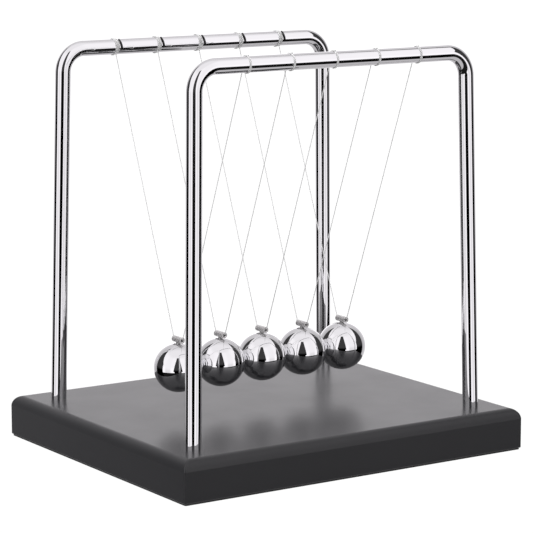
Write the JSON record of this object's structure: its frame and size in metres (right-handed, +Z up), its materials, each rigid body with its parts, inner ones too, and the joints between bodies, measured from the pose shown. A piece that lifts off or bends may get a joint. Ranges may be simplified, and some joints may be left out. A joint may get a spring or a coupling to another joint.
{
  "type": "newton's cradle",
  "caption": "Desk momentum toy: steel balls in a touching row hang on paired lines from two bent-rod frames set in a rectangular base; each ball swings along the row.",
  "frame": {"origin": "middle of the underside of the base, on the surface it stands on", "axes": "+Z up, +X along the row of balls, +Y from the front frame to the rear frame"},
  "size_m": [0.1784, 0.152, 0.1825],
  "materials": {
    "board": "medium-density fibreboard sprayed satin black",
    "pad": "black foam sheet",
    "frame": "bright chrome plate on steel rod",
    "bolt": "zinc-plated steel",
    "washer": "zinc-plated steel",
    "ball": "mirror-polished steel",
    "stud": "plain turned steel",
    "tube": "dull nickel-plated tube",
    "line": "clear nylon line",
    "turns": "clear nylon line, wound and knotted"
  },
  "bodies": {
    "stand": {"base_board": "board", "base_pad": "pad", "frame_front": "frame", "frame_rear": "frame", "leg_bolt_fl": "bolt", "leg_washer_fl": "washer", "leg_bolt_fr": "bolt", "leg_washer_fr": "washer", "leg_bolt_rl": "bolt", "leg_washer_rl": "washer", "leg_bolt_rr": "bolt", "leg_washer_rr": "washer", "turns_front_1": "turns", "turns_rear_1": "turns", "turns_front_2": "turns", "turns_rear_2": "turns", "turns_front_3": "turns", "turns_rear_3": "turns", "turns_front_4": "turns", "turns_rear_4": "turns", "turns_front_5": "turns", "turns_rear_5": "turns"},
    "pendulum_1": {"ball_1": "ball", "stud_1": "stud", "tube_1": "tube", "line_1": "line"},
    "pendulum_2": {"ball_2": "ball", "stud_2": "stud", "tube_2": "tube", "line_2": "line"},
    "pendulum_3": {"ball_3": "ball", "stud_3": "stud", "tube_3": "tube", "line_3": "line"},
    "pendulum_4": {"ball_4": "ball", "stud_4": "stud", "tube_4": "tube", "line_4": "line"},
    "pendulum_5": {"ball_5": "ball", "stud_5": "stud", "tube_5": "tube", "line_5": "line"}
  },
  "joints": [
    {"name": "swing_1", "type": "hinge", "parent": "stand", "child": "pendulum_1", "pos_m": [-0.0452, 0, 0.17569], "axis": [0, -1, 0], "range_deg": [-60, 0]},
    {"name": "swing_2", "type": "hinge", "parent": "stand", "child": "pendulum_2", "pos_m": [-0.023, 0, 0.17569], "axis": [0, -1, 0], "range_deg": [-0.08, 0.08]},
    {"name": "swing_3", "type": "hinge", "parent": "stand", "child": "pendulum_3", "pos_m": [-0.0008, 0, 0.17569], "axis": [0, -1, 0], "range_deg": [-0.08, 0.08]},
    {"name": "swing_4", "type": "hinge", "parent": "stand", "child": "pendulum_4", "pos_m": [0.0214, 0, 0.17569], "axis": [0, -1, 0], "range_deg": [-0.08, 0.08]},
    {"name": "swing_5", "type": "hinge", "parent": "stand", "child": "pendulum_5", "pos_m": [0.0436, 0, 0.17569], "axis": [0, -1, 0], "range_deg": [0, 60]}
  ]
}
